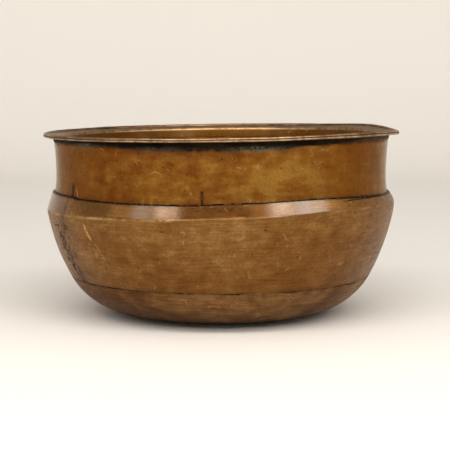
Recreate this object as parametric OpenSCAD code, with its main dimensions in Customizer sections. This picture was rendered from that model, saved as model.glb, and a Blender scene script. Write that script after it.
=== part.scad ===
// Round vessel of beaten sheet brass: lip, neck, shouldered body and dished base, brazed together.
// Millimetres. Z is the vessel's axis, the flat of the base rests on z = 0 and the front faces -Y.

/* [Sheet] */
// Thickness of the beaten sheet
sheet_t = 1.4; // [1:0.1:1.8]
// Thickness of the braze in the base seam
braze_t = 0.3; // [0.2:0.05:0.5]

/* [Rim] */
// Diameter over the lip
rim_d = 300; // [296:1:304]
// Height of the top of the lip
height = 155; // [153:0.5:158]
// Thickness of the rolled edge of the lip
lip_t = 3.6; // [3:0.1:3.8]
// Rise of the flange towards the lip, in degrees
flange_rise = 13.5; // [10:0.5:15]
// Lowest point of the collar that sits inside the neck
collar_z = 143; // [138:0.5:144]
// Lowest point of the braze bead under the flange
bead_z = 145.5; // [144.5:0.5:147]
// How far the bead stands proud of the neck
bead_proud = 0.8; // [0.6:0.1:1.6]

/* [Neck] */
// Diameter at the narrowest place
waist_d = 278.2; // [277.6:0.2:278.4]
// Height of the narrowest place
waist_z = 116; // [113:1:117]
// Radius of the hollow curve above the waist
neck_upper_r = 304; // [290:2:340]
// Radius of the hollow curve below the waist
neck_lower_r = 68; // [64:1:76]
// Height of the seam between neck and shoulder
neck_seam_z = 103.4; // [103:0.1:104]
// How far the neck reaches down inside the shoulder
neck_lap = 6; // [4:0.5:7]
// Height of the split near the front, above the seam
front_split_h = 11; // [10:0.2:12]
// Direction of the split near the front, in degrees from the front towards the right
front_split_az = -6; // [-8:1:-4]
// Height of the split on the left, above the seam
left_split_h = 11.6; // [10:0.2:12]
// Direction of the split on the left
left_split_az = -58; // [-60:1:-56]
// Width of a split
split_w = 0.8; // [0.4:0.1:1.2]

/* [Body] */
// Diameter over the shoulder's upper edge
shoulder_d = 284.8; // [284.6:0.1:285.2]
// Diameter over the ridge
ridge_d = 294.2; // [293:0.2:296]
// Height of the ridge
ridge_z = 92.5; // [90:0.5:94]
// Radius of the belly's curve from ridge to base seam
belly_r = 182; // [178:1:186]
// Lean of the belly just under the ridge, in degrees
ridge_lean = 9; // [8.5:0.5:10]
// Lean of the belly at the base seam, in degrees
seam_lean = 28.5; // [28:0.5:29]

/* [Base] */
// Diameter of the flat that the vessel rests on
foot_d = 82; // [78:1:86]
// Lean where the turn of the base meets its shallow dome, in degrees
dome_lean = 83; // [82:0.5:84]
// How far the base reaches up inside the body
base_lap = 6; // [4:0.5:8]

/* [Side joints] */
// Direction of the neck's side joint, in degrees from the front towards the right
neck_joint_az = -64; // [-67:1:-62]
// Direction of the body's side joint
body_joint_az = -61; // [-64:1:-60]
// Width of the braze line in a side joint
joint_w = 1.6; // [1:0.1:2.4]
// Number of teeth in the body's side joint
teeth = 12; // [8:1:16]
// How far the teeth reach across
tooth_w = 4; // [2.5:0.1:5]

/* [Hidden] */
$fn = 192;
BRASS = [0.51, 0.33, 0.11];
SOLDER = [0.14, 0.11, 0.08];
BRAZE = [0.62, 0.44, 0.18];
// Steps in the longer curves of the outlines
CURVE_STEPS = 10;
LIP_STEPS = 32;

// Layers of the wall, as depths behind the outer face
outer = 0;
inner = sheet_t;
second_inner = 2 * sheet_t;

// Flange: a sloping strip that ends in the rolled lip
lip_r = lip_t / 2;
lip_c = [rim_d / 2 - lip_r, height - lip_r];
lip_spread = 180 - asin(sheet_t / 2 / lip_r);
strip_half = sheet_t / 2 / cos(flange_rise);

// Neck: its top meets the flange's lower face, and its heights are the corners of its outline
neck_top_z = flange_z(neck_r(height - lip_t, outer), -strip_half);
seam_recess = 0.5;
lap_heights = [neck_seam_z - neck_lap, neck_seam_z - seam_recess];
flare_heights = [for (i = [0:CURVE_STEPS - 1]) neck_seam_z + (waist_z - neck_seam_z) * i / CURVE_STEPS];
collar_heights = [collar_z, bead_z];
neck_heights = concat(lap_heights, flare_heights,
    [for (i = [0:CURVE_STEPS - 1]) waist_z + (collar_z - waist_z) * i / CURVE_STEPS], collar_heights);

// Body: a straight shoulder, then the belly's curve, which ends at the base seam
shoulder_top = [shoulder_d / 2, neck_seam_z];
ridge = [ridge_d / 2, ridge_z];
shoulder_lean = atan2(shoulder_top[0] - ridge[0], shoulder_top[1] - ridge[1]);
belly_c = ridge - belly_r * outward(ridge_lean);
lap_lean = seam_lean - asin(base_lap / belly_r);
body_end_lean = seam_lean - asin(braze_t / belly_r);
belly_leans = concat([for (i = [1:CURVE_STEPS]) ridge_lean + (lap_lean - ridge_lean) * i / CURVE_STEPS],
    [body_end_lean]);
seam = belly_point(seam_lean, outer);

// Base: a turn and then a dome, tangent to each other, to the belly and to the flat foot.
// Their radii solve two equations: the curves end at the foot's edge, and they end at z = 0.
foot_r = foot_d / 2;
turn_run = cos(seam_lean) - cos(dome_lean);
turn_drop = sin(dome_lean) - sin(seam_lean);
dome_run = cos(dome_lean);
dome_drop = 1 - sin(dome_lean);
det = turn_run * dome_drop - dome_run * turn_drop;
turn_r = ((seam[0] - foot_r) * dome_drop - dome_run * seam[1]) / det;
dome_r = (turn_run * seam[1] - turn_drop * (seam[0] - foot_r)) / det;
turn_c = seam - turn_r * outward(seam_lean);
dome_c = [foot_r, dome_r];
// The base is thick just under the seam, where it steps inwards to pass behind the body
step_lean = seam_lean + asin(2 * sheet_t / turn_r);
turn_leans = [for (i = [0:CURVE_STEPS]) step_lean + (dome_lean - step_lean) * i / CURVE_STEPS];
dome_leans = [for (i = [1:4]) dome_lean + (90 - dome_lean) * i / 4];
lap_outer = inner + braze_t;
lap_inner = second_inner + braze_t;

// Direction out of the vessel, square to a wall that leans by this angle from the vertical
function outward(lean) = [cos(lean), -sin(lean)];

function reversed(points) = [for (i = [len(points) - 1:-1:0]) points[i]];

function belly_point(lean, depth) = belly_c + (belly_r - depth) * outward(lean);

function turn_point(lean, depth) = turn_c + (turn_r - depth) * outward(lean);

function dome_point(lean, depth) = dome_c + (dome_r - depth) * outward(lean);

// Radius of the neck at a height. Both curves have their centres outside, level with the waist.
function neck_r(z, depth) =
    let (curve_r = z < waist_z ? neck_lower_r : neck_upper_r)
    waist_d / 2 + curve_r - sqrt(pow(curve_r + depth, 2) - pow(z - waist_z, 2));

function neck_points(heights, depth) = [for (z = heights) [neck_r(z, depth), z]];

// Height of the flange's middle line at a radius, moved up by rise
function flange_z(r, rise) = lip_c[1] + (r - lip_c[0]) * tan(flange_rise) + rise;

// Where a layer of the neck's wall meets a face of the flange
function flange_point(depth, rise) =
    let (r = neck_r(neck_top_z, depth))
    [r, flange_z(r, rise)];

// Corner between shoulder and belly, depth behind the ridge
function ridge_point(depth) =
    let (a = outward(shoulder_lean), b = outward(ridge_lean))
    ridge - depth * (a + b) / (1 + a * b);

function shoulder_r(z, depth) = shoulder_top[0] - depth / cos(shoulder_lean)
    - (z - neck_seam_z) * (ridge[0] - shoulder_top[0]) / (neck_seam_z - ridge_z);

function body_points(depth) = concat([[shoulder_r(neck_seam_z, depth), neck_seam_z], ridge_point(depth)],
    [for (lean = belly_leans) belly_point(lean, depth)]);

module flange_profile() {
    lip = [for (i = [0:LIP_STEPS])
        let (a = flange_rise - lip_spread + 2 * lip_spread * i / LIP_STEPS)
        lip_c + lip_r * [cos(a), sin(a)]];
    collar_outer = concat(neck_points(collar_heights, inner), [flange_point(inner, -strip_half)]);
    collar_inner = concat(neck_points(collar_heights, second_inner), [flange_point(second_inner, strip_half)]);
    polygon(concat(collar_outer, lip, reversed(collar_inner)));
}

module bead_profile() {
    face_r = neck_r(bead_z, outer) + bead_proud;
    chamfer = bead_proud / 2;
    polygon([[neck_r(bead_z, outer), bead_z], [face_r - chamfer, bead_z], [face_r, bead_z + chamfer],
        [face_r, flange_z(face_r, -strip_half)], flange_point(outer, -strip_half)]);
}

module neck_profile() {
    outer_points = concat(neck_points(neck_heights, outer), [flange_point(outer, -strip_half)]);
    inner_points = concat(neck_points(neck_heights, inner), [flange_point(inner, -strip_half)]);
    polygon(concat(outer_points, reversed(inner_points)));
}

// The wedge of braze between the neck's lower edge and the shoulder that covers it
module neck_seam_profile() {
    covered = [for (z = lap_heights) [shoulder_r(z, inner), z]];
    polygon(concat(neck_points(lap_heights, outer), reversed(covered)));
}

module body_profile() {
    polygon(concat(body_points(outer), reversed(body_points(inner))));
}

module base_seam_profile() {
    polygon([belly_point(lap_lean, inner), belly_point(body_end_lean, inner), belly_point(body_end_lean, outer),
        seam, belly_point(seam_lean, lap_outer), belly_point(lap_lean, lap_outer)]);
}

module base_profile() {
    lower = concat([for (lean = turn_leans) turn_point(lean, outer)],
        [for (lean = dome_leans) dome_point(lean, outer)]);
    upper = concat([for (lean = turn_leans) turn_point(lean, inner)],
        [for (lean = dome_leans) dome_point(lean, inner)]);
    lap = [turn_point(step_lean, lap_inner), turn_point(seam_lean, lap_inner),
        belly_point(lap_lean, lap_inner), belly_point(lap_lean, lap_outer), belly_point(seam_lean, lap_outer)];
    polygon(concat([seam], lower, [[0, 0], [0, sheet_t]], reversed(upper), lap));
}

// Pushes a flat outline, drawn as width across and height, through the wall in one direction
module through_wall(az) {
    rotate([0, 0, az]) translate([0, -belly_r / 2, 0]) rotate([90, 0, 0]) linear_extrude(belly_r) children();
}

module neck_joint_cut() {
    through_wall(neck_joint_az) translate([-joint_w / 2, 0]) square([joint_w, height]);
}

// The toothed line of the body's side joint, from below the base seam to above the neck seam
module body_joint_cut() {
    low = seam[1] - 2 * sheet_t;
    pitch = (neck_seam_z + sheet_t - low) / teeth;
    line = [for (i = [0:teeth]) [(i % 2 - 0.5) * (tooth_w - joint_w), low + i * pitch]];
    left = [for (p = line) p - [joint_w / 2, 0]];
    right = [for (p = line) p + [joint_w / 2, 0]];
    through_wall(body_joint_az) polygon(concat(left, reversed(right)));
}

// A split in the neck's lower edge that ends at this height above the seam
module split_cut(az, rise) {
    low = neck_seam_z - neck_lap - sheet_t;
    through_wall(az) translate([-split_w / 2, low]) square([split_w, neck_seam_z + rise - low]);
}

module rim_flange() {
    color(BRASS) rotate_extrude() flange_profile();
}

module rim_solder_bead() {
    color(SOLDER) rotate_extrude() bead_profile();
}

module neck_band() {
    color(BRASS) difference() {
        rotate_extrude() neck_profile();
        neck_joint_cut();
        split_cut(front_split_az, front_split_h);
        split_cut(left_split_az, left_split_h);
    }
}

module neck_side_braze() {
    color(BRAZE) intersection() {
        rotate_extrude() neck_profile();
        neck_joint_cut();
    }
}

module neck_seam_braze() {
    color(BRAZE) rotate_extrude() neck_seam_profile();
}

module body_shell() {
    color(BRASS) difference() {
        rotate_extrude() body_profile();
        body_joint_cut();
    }
}

module body_side_braze() {
    color(BRAZE) intersection() {
        rotate_extrude() body_profile();
        body_joint_cut();
    }
}

module base_seam_braze() {
    color(BRAZE) rotate_extrude() base_seam_profile();
}

module base_pan() {
    color(BRASS) rotate_extrude() base_profile();
}

rim_flange();
rim_solder_bead();
neck_band();
neck_side_braze();
neck_seam_braze();
body_shell();
body_side_braze();
base_seam_braze();
base_pan();
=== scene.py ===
import math

import bmesh
import bpy
import numpy as np
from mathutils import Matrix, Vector


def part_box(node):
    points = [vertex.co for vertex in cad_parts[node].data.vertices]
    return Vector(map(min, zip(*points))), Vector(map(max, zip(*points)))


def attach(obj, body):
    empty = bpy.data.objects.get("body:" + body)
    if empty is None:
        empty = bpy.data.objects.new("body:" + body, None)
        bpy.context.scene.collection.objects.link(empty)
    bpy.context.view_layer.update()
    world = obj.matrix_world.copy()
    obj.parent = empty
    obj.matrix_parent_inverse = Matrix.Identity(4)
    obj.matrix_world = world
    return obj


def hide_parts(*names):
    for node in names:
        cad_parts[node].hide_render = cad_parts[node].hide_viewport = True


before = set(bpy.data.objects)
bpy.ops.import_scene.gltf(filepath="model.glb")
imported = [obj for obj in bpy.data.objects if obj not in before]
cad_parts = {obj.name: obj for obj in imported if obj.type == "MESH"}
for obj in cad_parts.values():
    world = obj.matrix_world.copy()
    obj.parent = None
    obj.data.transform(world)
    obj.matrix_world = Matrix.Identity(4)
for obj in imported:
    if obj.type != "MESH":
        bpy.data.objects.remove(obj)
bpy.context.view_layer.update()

# Looks and final meshes of a brass bowl: beaten sheet brazed from lip, neck, body and dished base.
# Shapes are worked out in millimetres and turned into metres as each mesh is made. Z is the bowl's axis.
# A direction round the bowl is an azimuth in degrees: 0 faces -Y, the front, and +X is at 90.

MM = 0.001
COLUMNS = 600
# Millimetres of wall to a degree of azimuth
ARC = 2.5

# -------------------- sizes taken from the frame


def low_mm(node):
    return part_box(node)[0] / MM


def high_mm(node):
    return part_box(node)[1] / MM


LIP_REACH = high_mm("rim_flange").x
TOP_Z = high_mm("rim_flange").z
COLLAR_Z = low_mm("rim_flange").z
BEAD_Z = low_mm("rim_solder_bead").z
BEAD_REACH = high_mm("rim_solder_bead").x
NECK_LOW_Z = low_mm("neck_band").z
NECK_SEAM_Z = high_mm("body_shell").z
RIDGE_R = high_mm("body_shell").x
BASE_SEAM_Z = low_mm("base_seam_braze").z

# -------------------- sizes that the boxes don't show

SHEET = 1.4
BRAZE = 0.3
LIP_HALF = 1.8
FLANGE_RISE = 13.5
WAIST_R = 139.1
WAIST_Z = 116.0
NECK_UPPER_R = 304.0
NECK_LOWER_R = 68.0
SHOULDER_R = 142.4
RIDGE_Z = 92.5
BELLY_R = 182.0
RIDGE_LEAN = 9.0
SEAM_LEAN = 28.5
DOME_LEAN = 83.0
FOOT_R = 41.0
FRONT_SPLIT_AZ = -6.0
LEFT_SPLIT_AZ = -58.0
NECK_JOINT_AZ = -64.0
BODY_JOINT_AZ = -61.0
TEETH = 12


def outward(lean):
    """Across and up parts of the direction square to a wall that leans by this angle."""
    a = np.radians(lean)
    return np.array([np.cos(a), -np.sin(a)])


FLANGE_SLOPE = math.tan(math.radians(FLANGE_RISE))
BELLY_C = np.array([RIDGE_R, RIDGE_Z]) - BELLY_R * outward(RIDGE_LEAN)
SEAM = BELLY_C + BELLY_R * outward(SEAM_LEAN)
# The turn and the dome of the base are tangent arcs from the seam down to the flat foot
turn_way = outward(SEAM_LEAN) - outward(DOME_LEAN)
dome_way = outward(DOME_LEAN) - outward(90)
TURN_R, DOME_R = np.linalg.solve(np.array([turn_way, dome_way]).T, SEAM - np.array([FOOT_R, 0]))
TURN_C = SEAM - TURN_R * outward(SEAM_LEAN)
DOME_C = np.array([FOOT_R, DOME_R])

# -------------------- small tools


def gauss(distance, width):
    """1 where distance is 0, fading over a few widths."""
    return np.exp(-0.5 * (distance / width) ** 2)


def apart(az, centre):
    """Signed angle from centre to az, the short way round."""
    return (az - centre + 180) % 360 - 180


def near(az, centre, width):
    """1 at the azimuth centre and fading to both sides of it."""
    return gauss(apart(az, centre), width)


def ramp(value, low, high):
    """0 below low, 1 above high and smooth in between."""
    t = np.clip((value - low) / (high - low), 0, 1)
    return t * t * (3 - 2 * t)


def plateau(value, start, full, fade, end):
    """1 from full to fade, falling to 0 at start and end."""
    return ramp(value, start, full) * (1 - ramp(value, fade, end))


def lattice(i, j, k, seed):
    """A fixed number from -1 to 1 for each lattice point."""
    h = (i * 374761393 + j * 668265263 + k * 1442695041 + seed * 1274126177) & 0xFFFFFFFF
    h = ((h ^ (h >> 13)) * 1274126177) & 0xFFFFFFFF
    return ((h ^ (h >> 16)) & 0xFFFF) / 32767.5 - 1


def noise(points, wave, seed):
    """Smooth noise from -1 to 1 at points, an array (..., 3) in millimetres."""
    q = points / np.array(wave)
    whole = np.floor(q).astype(np.int64)
    f = q - whole
    f = f * f * f * (f * (f * 6 - 15) + 10)
    total = 0
    for corner in range(8):
        bit = [corner >> n & 1 for n in range(3)]
        weight = 1
        for n in range(3):
            weight = weight * (f[..., n] if bit[n] else 1 - f[..., n])
        i, j, k = [whole[..., n] + bit[n] for n in range(3)]
        total = total + weight * lattice(i, j, k, seed)
    return total


def on_wall(az, r, z):
    """Points in millimetres at an azimuth, radius and height, before any beating."""
    a = np.radians(az)
    return np.stack(np.broadcast_arrays(r * np.sin(a), -r * np.cos(a), z), axis=-1)


# -------------------- how the metal leaves the true round


def lip_lift(az):
    return (1.7 * np.sin(np.radians(az)) - 0.6 + 0.9 * near(az, 50, 25) + 1.3 * near(az, 118, 14)
            - 1.9 * near(az, 90, 12))


def neck_top_lift(az):
    return 1.2 * np.sin(np.radians(az))


def neck_seam_lift(az):
    """The seam rises on the right. On the left it drops by a step, where the body strip's ends meet."""
    lower = plateau(apart(az, 0), -57, -53, -12, 2)
    return 2.5 * near(az, 34, 17) + 0.5 * near(az, -76, 14) + 0.9 * near(az, 160, 30) - lower


def ridge_lift(az):
    return 4.2 * np.sin(np.radians(az)) + 1.3 * near(az, 42, 20) + 0.8 * near(az, -32, 16)


def blend_levels(z, levels, values):
    total = values[0]
    for n in range(len(levels) - 1):
        t = np.clip((z - levels[n]) / (levels[n + 1] - levels[n]), 0, 1)
        total = total + (values[n + 1] - values[n]) * t
    return total


def beaten(az, r, z):
    """Points of the wall after beating. Every piece goes through it, so they stay fitted."""
    nothing = 0 * az
    seam = neck_seam_lift(az)
    levels = [0, BASE_SEAM_Z, RIDGE_Z, NECK_SEAM_Z, WAIST_Z, BEAD_Z, TOP_Z - LIP_HALF]
    lifts = [nothing, nothing, ridge_lift(az), seam, 0.3 * seam, neck_top_lift(az), lip_lift(az)]
    lift = blend_levels(z, levels, lifts)
    aside = blend_levels(z, [20, 75, NECK_SEAM_Z, BEAD_Z, TOP_Z - 4], [-0.4, 0.65, 0.7, 0.7, 0.85])
    smooth = on_wall(az, r, z)
    swell = 0.2 * noise(smooth, 90, 1) + 0.12 * noise(smooth, 47, 2)
    points = on_wall(az, r + swell * ramp(r, 20, 60), z + lift)
    points[..., 0] += aside
    return points


# -------------------- scratches and cracks


def strokes(az, z, paths):
    """Distance across the nearest of some drawn lines at each place, and how strong that line is there.

    A path is a list of (azimuth, height, strength). A path keeps clear of the others, because each
    place follows only the nearest one."""
    across = np.full(az.shape, 9.0)
    strength = np.zeros(az.shape)
    nearest = np.full(az.shape, 1e6)
    for path in paths:
        for (az0, z0, s0), (az1, z1, s1) in zip(path, path[1:]):
            u, v = apart(az, az0) * ARC, z - z0
            du, dv = (az1 - az0) * ARC, z1 - z0
            length = math.hypot(du, dv)
            along = (u * du + v * dv) / length
            t = np.clip(along / length, 0, 1)
            gap = np.hypot(u - t * du, v - t * dv)
            beyond = np.abs(along - t * length)
            closer = gap < nearest
            nearest = np.where(closer, gap, nearest)
            across = np.where(closer, (u * dv - v * du) / length, across)
            strength = np.where(closer, (s0 + (s1 - s0) * t) * (1 - ramp(beyond, 0, 0.8)), strength)
    return np.clip(across, -9, 9), strength * (nearest < 2.4)


# -------------------- mesh making


def finished(name, points, faces, values):
    """A shaded mesh object from a grid of points in millimetres, faces and per-point values."""
    points = points.reshape(-1, 3)
    used = np.zeros(len(points), bool)
    for face in faces:
        used[face] = True
    place = np.cumsum(used) - 1
    mesh = bpy.data.meshes.new(name)
    every = [place[f].tolist() for group in faces for f in group]
    mesh.from_pydata((points[used] * MM).tolist(), [], every)
    for key, value in values.items():
        layer = mesh.attributes.new(key, "FLOAT", "POINT")
        layer.data.foreach_set("value", np.ascontiguousarray(value.ravel()[used], np.float32))
    bm = bmesh.new()
    bm.from_mesh(mesh)
    bmesh.ops.recalc_face_normals(bm, faces=bm.faces)
    bm.to_mesh(mesh)
    bm.free()
    mesh.shade_smooth()
    mesh.set_sharp_from_angle(angle=math.radians(38))
    piece = bpy.data.objects.new(name, mesh)
    bpy.context.collection.objects.link(piece)
    return piece


def quads(a, b, c, d):
    return np.stack([a.ravel(), b.ravel(), c.ravel(), d.ravel()], axis=1)


def sheet_mesh(name, outer, inner, present, values):
    """A sheet from outer and inner grids (rows, columns, 3) that wraps round the bowl. Each of values is
    a pair of grids, for the outer and the inner face.

    present (rows - 1, columns) says which cells have metal. A wall closes the sheet along every edge."""
    rows, cols = outer.shape[:2]
    index = np.arange(rows * cols).reshape(rows, cols)
    beside = np.roll(index, -1, axis=1)
    inside = rows * cols
    corners = [index[:-1], beside[:-1], beside[1:], index[1:]]
    faces = [quads(*[c[present] for c in corners])]
    faces.append(quads(*[c[present] + inside for c in reversed(corners)]))
    empty = np.zeros((1, cols), bool)
    below = np.vstack([empty, present[:-1]])
    above = np.vstack([present[1:], empty])
    left = np.roll(present, 1, axis=1)
    right = np.roll(present, -1, axis=1)
    for neighbour, start, end in ((below, 0, 1), (right, 1, 2), (above, 2, 3), (left, 3, 0)):
        edge = present & ~neighbour
        a, b = corners[start][edge], corners[end][edge]
        faces.append(quads(b, a, a + inside, b + inside))
    return finished(name, np.stack([outer, inner]), faces, {k: np.stack(v) for k, v in values.items()})


def both_faces(outer, inner):
    """Pairs of values for sheet_mesh. A value that inner leaves out is 0 on the inner face."""
    return {name: (value, inner.get(name, 0 * value)) for name, value in outer.items()}


def ring_mesh(name, section, values):
    """A solid ring from a closed outline: section is (points, columns, 3)."""
    count, cols = section.shape[:2]
    index = np.arange(count * cols).reshape(count, cols)
    up, beside = np.roll(index, -1, axis=0), np.roll(index, -1, axis=1)
    faces = [quads(index, beside, np.roll(up, -1, axis=1), up)]
    return finished(name, section, faces, values)


def strip_mesh(name, section, values):
    """A solid strip: section is (points, rows, 3), closed across and capped at both ends."""
    count, rows = section.shape[:2]
    index = np.arange(count * rows).reshape(count, rows)
    up = np.roll(index, -1, axis=0)
    faces = [quads(index[:, :-1], index[:, 1:], up[:, 1:], up[:, :-1])]
    faces.append(index[:, 0][None, :])
    faces.append(index[::-1, -1][None, :])
    return finished(name, section, faces, values)


def even_columns():
    return np.arange(COLUMNS) * 360 / COLUMNS - 180


def columns_with_gaps(gaps):
    """Column azimuths for a sheet, and for each (azimuth, half width) gap the column left of it."""
    az = even_columns()
    for centre, half in gaps:
        az = az[np.abs(apart(az, centre)) > half + 0.3]
        az = np.concatenate([az, [centre - half - 0.2, centre - half, centre + half, centre + half + 0.2]])
    az = np.sort(az)
    return az, [int(np.argmin(np.abs(az - (centre - half)))) for centre, half in gaps]


# -------------------- outlines


def neck_r(z, depth=0):
    """Radius of the waisted neck, this deep in its sheet."""
    curve = np.where(z < WAIST_Z, NECK_LOWER_R, NECK_UPPER_R)
    return WAIST_R + curve - np.sqrt((curve + depth) ** 2 - (z - WAIST_Z) ** 2)


def flange_z(r, rise):
    """Height of the sloping flange: rise is measured up from the middle of its sheet."""
    return TOP_Z - LIP_HALF + (r - LIP_REACH + LIP_HALF) * FLANGE_SLOPE + rise


def shoulder_r(z, depth=0):
    slope = (RIDGE_R - SHOULDER_R) / (NECK_SEAM_Z - RIDGE_Z)
    return SHOULDER_R - (z - NECK_SEAM_Z) * slope - depth * math.hypot(1, slope)


def belly_wall_r(z, depth=0):
    drop = np.clip((BELLY_C[1] - z) / (BELLY_R - depth), -0.99, 0.99)
    return BELLY_C[0] + (BELLY_R - depth) * np.sqrt(1 - drop ** 2)


def body_r(z, soft, depth=0):
    """Radius of the body with the ridge rounded: soft is the size of the rounding."""
    a, b = shoulder_r(z, depth), belly_wall_r(z, depth)
    low = np.minimum(a, b)
    return low - soft * np.log(np.exp((low - a) / soft) + np.exp((low - b) / soft))


def lean_at(z):
    """Lean of the belly from the vertical, in degrees."""
    return np.degrees(np.arcsin(np.clip((BELLY_C[1] - z) / BELLY_R, 0, 1)))


STRIP_HALF = SHEET / 2 / math.cos(math.radians(FLANGE_RISE))
NECK_TOP_Z = flange_z(neck_r(TOP_Z - 2 * LIP_HALF), -STRIP_HALF)

# -------------------- lip, collar and bead

# The round edge of the lip ends this far in from its reach
EDGE_DEPTH = 3.4
# Size of the bend between the lip's upper face and the collar
BEND = 2.2
# Gap between a piece and the braze on it
FIT_GAP = 0.02


def lip_edge(az):
    """The hammered edge of the lip: radii, heights, wear, and darkening that is partly painted shade, each
    (points, columns).
    """
    phi = np.radians(np.linspace(-140, 140, 45))[:, None]
    lumps = on_wall(az, LIP_REACH, TOP_Z)
    along = noise(lumps, 26, 11)
    chips = noise(lumps, 9, 12)
    fine = noise(lumps, 4.5, 13)
    half = LIP_HALF * (1.0 + 0.07 * along + 0.05 * chips + 0.03 * fine)
    groove_at = -0.12 + 0.2 * noise(lumps, 33, 14)
    depth = 0.5 * (1 + 0.5 * noise(lumps, 14, 15))
    groove = gauss(phi - groove_at, 0.22)
    reach = half * (1 - 0.12 * np.abs(np.cos(phi)) ** 3) - depth * groove
    wobble = 0.25 * noise(lumps, 38, 16) + 0.12 * noise(lumps, 11, 17)
    r = LIP_REACH - LIP_HALF + wobble + reach * np.cos(phi + math.radians(FLANGE_RISE))
    z = TOP_Z - LIP_HALF + reach * np.sin(phi + math.radians(FLANGE_RISE))
    edges = gauss(phi - groove_at - 0.55, 0.22) + gauss(phi - groove_at + 0.6, 0.2)
    patchy = 0.45 + 0.55 * chips + 0.4 * fine + 0.6 * near(az, -24, 9) + 0.7 * near(az, 21, 7)
    wear = np.clip(edges * patchy + 0.15, 0, 1)
    # The groove and the lower rounding of the edge are darkened: painted shade in the groove and under the
    # edge.
    grime_and_shade = 0.95 * groove + 0.3 * (phi < -1.2) + 0 * r
    return r, z, wear, grime_and_shade


def lip_outline(az):
    """Outline of the lip's ring: radii, heights, wear, darkening that is partly painted shade, and warmth,
    each (points, columns).
    """
    flat = 0 * az
    edge_r, edge_z, edge_wear, edge_grime_and_shade = lip_edge(az)
    under = np.linspace(neck_r(NECK_TOP_Z, SHEET), LIP_REACH - EDGE_DEPTH, 10)[:, None] + flat
    corner_r = neck_r(NECK_TOP_Z, 2 * SHEET)
    corner_z = flange_z(corner_r, STRIP_HALF)
    over = np.linspace(LIP_REACH - EDGE_DEPTH, corner_r + BEND, 12)[:, None] + flat
    over_z = flange_z(over, STRIP_HALF) + 0.06 * noise(on_wall(az, over, TOP_Z), 16, 18)
    t = np.linspace(0, 1, 8)[1:-1][:, None] + flat
    bend_r = corner_r + BEND * (1 - t) ** 2
    bend_z = corner_z + BEND * ((1 - t) ** 2 * FLANGE_SLOPE - t ** 2)
    collar = np.linspace(COLLAR_Z, NECK_TOP_Z - 0.6, 6)[:, None] + flat
    inner_z = np.linspace(corner_z - BEND, COLLAR_Z, 9)[:, None] + flat
    stain = np.clip(0.8 + 0.4 * noise(on_wall(az, WAIST_R, inner_z), 16, 19), 0, 1)
    # Each stretch of the outline: radii, heights, wear, darkening that is partly painted shade, and warmth
    stretches = [
        (neck_r(collar, SHEET) - FIT_GAP, collar, 0 * collar, 0.5 + 0 * collar, 0 * collar),
        # The flange's underside is darkened nearly to black: painted shadow under the flange, over its dark
        # oxide.
        (under, flange_z(under, -STRIP_HALF), 0 * under, 0.9 + 0 * under, 0 * under),
        (edge_r, edge_z, edge_wear, edge_grime_and_shade, 0 * edge_r),
        (over, over_z, 0.3 + 0 * over, 0 * over, 0 * over),
        (bend_r, bend_z, 0.55 + 0 * t, 0 * t, 0.5 * t),
        (neck_r(inner_z, 2 * SHEET), inner_z, 0 * inner_z, 0.05 + 0 * inner_z, stain),
    ]
    return [np.concatenate(column) for column in zip(*stretches)]


def make_lip():
    az = even_columns()
    r, z, wear, grime_and_shade, warmth = lip_outline(az)
    points = beaten(az, r, z)
    return ring_mesh("lip", points, {"wear": wear, "grime_and_shade": np.clip(grime_and_shade, 0, 1), "warmth": warmth})


def make_bead():
    """The dark band of braze in the corner between neck and flange, lumpy along its lower edge."""
    az = even_columns()
    spot = on_wall(az, BEAD_REACH, BEAD_Z)
    thin = plateau(apart(az, 0), 40, 58, 110, 150)
    low = BEAD_Z + 0.3 + 0.55 * noise(spot, 24, 21) + 0.35 * noise(spot, 8, 22) + 0.2 * noise(spot, 3.5, 23)
    low = np.maximum(low + bead_rise(az), BEAD_Z - 0.6)
    rounds = np.linspace(0, 1, 9)[:, None]
    z = low + (flange_z(BEAD_REACH, -STRIP_HALF) - low) * rounds
    lumps = noise(on_wall(az, BEAD_REACH, z), 7, 24)
    small = noise(on_wall(az, BEAD_REACH, z), 3, 25)
    proud = (0.45 + 0.22 * lumps + 0.12 * small) * np.clip(rounds * 4, 0, 1) ** 0.5
    face = neck_r(z) + np.clip(proud, 0.04, 0.9)
    back_z = np.linspace(1, 0, 4)[:, None] * (NECK_TOP_Z - 0.1 - low) + low
    r = np.concatenate([face, neck_r(back_z) - FIT_GAP])
    zs = np.concatenate([z, back_z])
    crust = np.concatenate([gauss(z - low, 1.1) * crusty(az) * (0.8 + 0.5 * small), 0 * back_z])
    wear = 0.5 * thin + 0 * r
    points = beaten(az, r, zs)
    return ring_mesh("lip_braze", points, {"wear": wear, "crust": np.clip(crust, 0, 1)})


def crusty(az):
    """Where pale crust has gathered along the lower edge of the bead."""
    return near(az, 12, 6) + near(az, -49, 3.5) + 0.4 * near(az, -20, 7) + 0.7 * near(az, 150, 20)


def bead_rise(az):
    """How far the bead's lower edge is drawn up: not at all in front and at the back, most at the sides."""
    off = apart(az, 0)
    right = plateau(off, 17, 30, 110, 150)
    left = plateau(off, -150, -110, -42, -24)
    return 1.7 * right + 1.3 * left


# -------------------- neck

FRONT_SPLIT_TOP = NECK_SEAM_Z + 11.0
LEFT_SPLIT_TOP = NECK_SEAM_Z + 11.6
SPLIT_HALF_DEG = 0.07
NECK_JOINT_HALF_DEG = 0.24

# Scratches in the neck, each a list of (azimuth, height, strength)
NECK_SCRATCHES = [
    [(-39.5, 122.6, 0.3), (-36.5, 123.2, 0.5), (-34.5, 124.6, 0.3)],
    [(-23.0, 126.0, 0.4), (-21.0, 128.6, 0.7), (-19.0, 126.4, 0.5)],
    [(-17.8, 133.5, 0.2), (-16.6, 129.5, 0.5)],
    [(24.0, 117.0, 0.2), (30.0, 119.4, 0.3)],
    [(-56.2, 112.0, 0.5), (-55.2, 108.5, 1.6), (-54.4, 105.0, 0.9)],
]


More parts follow.
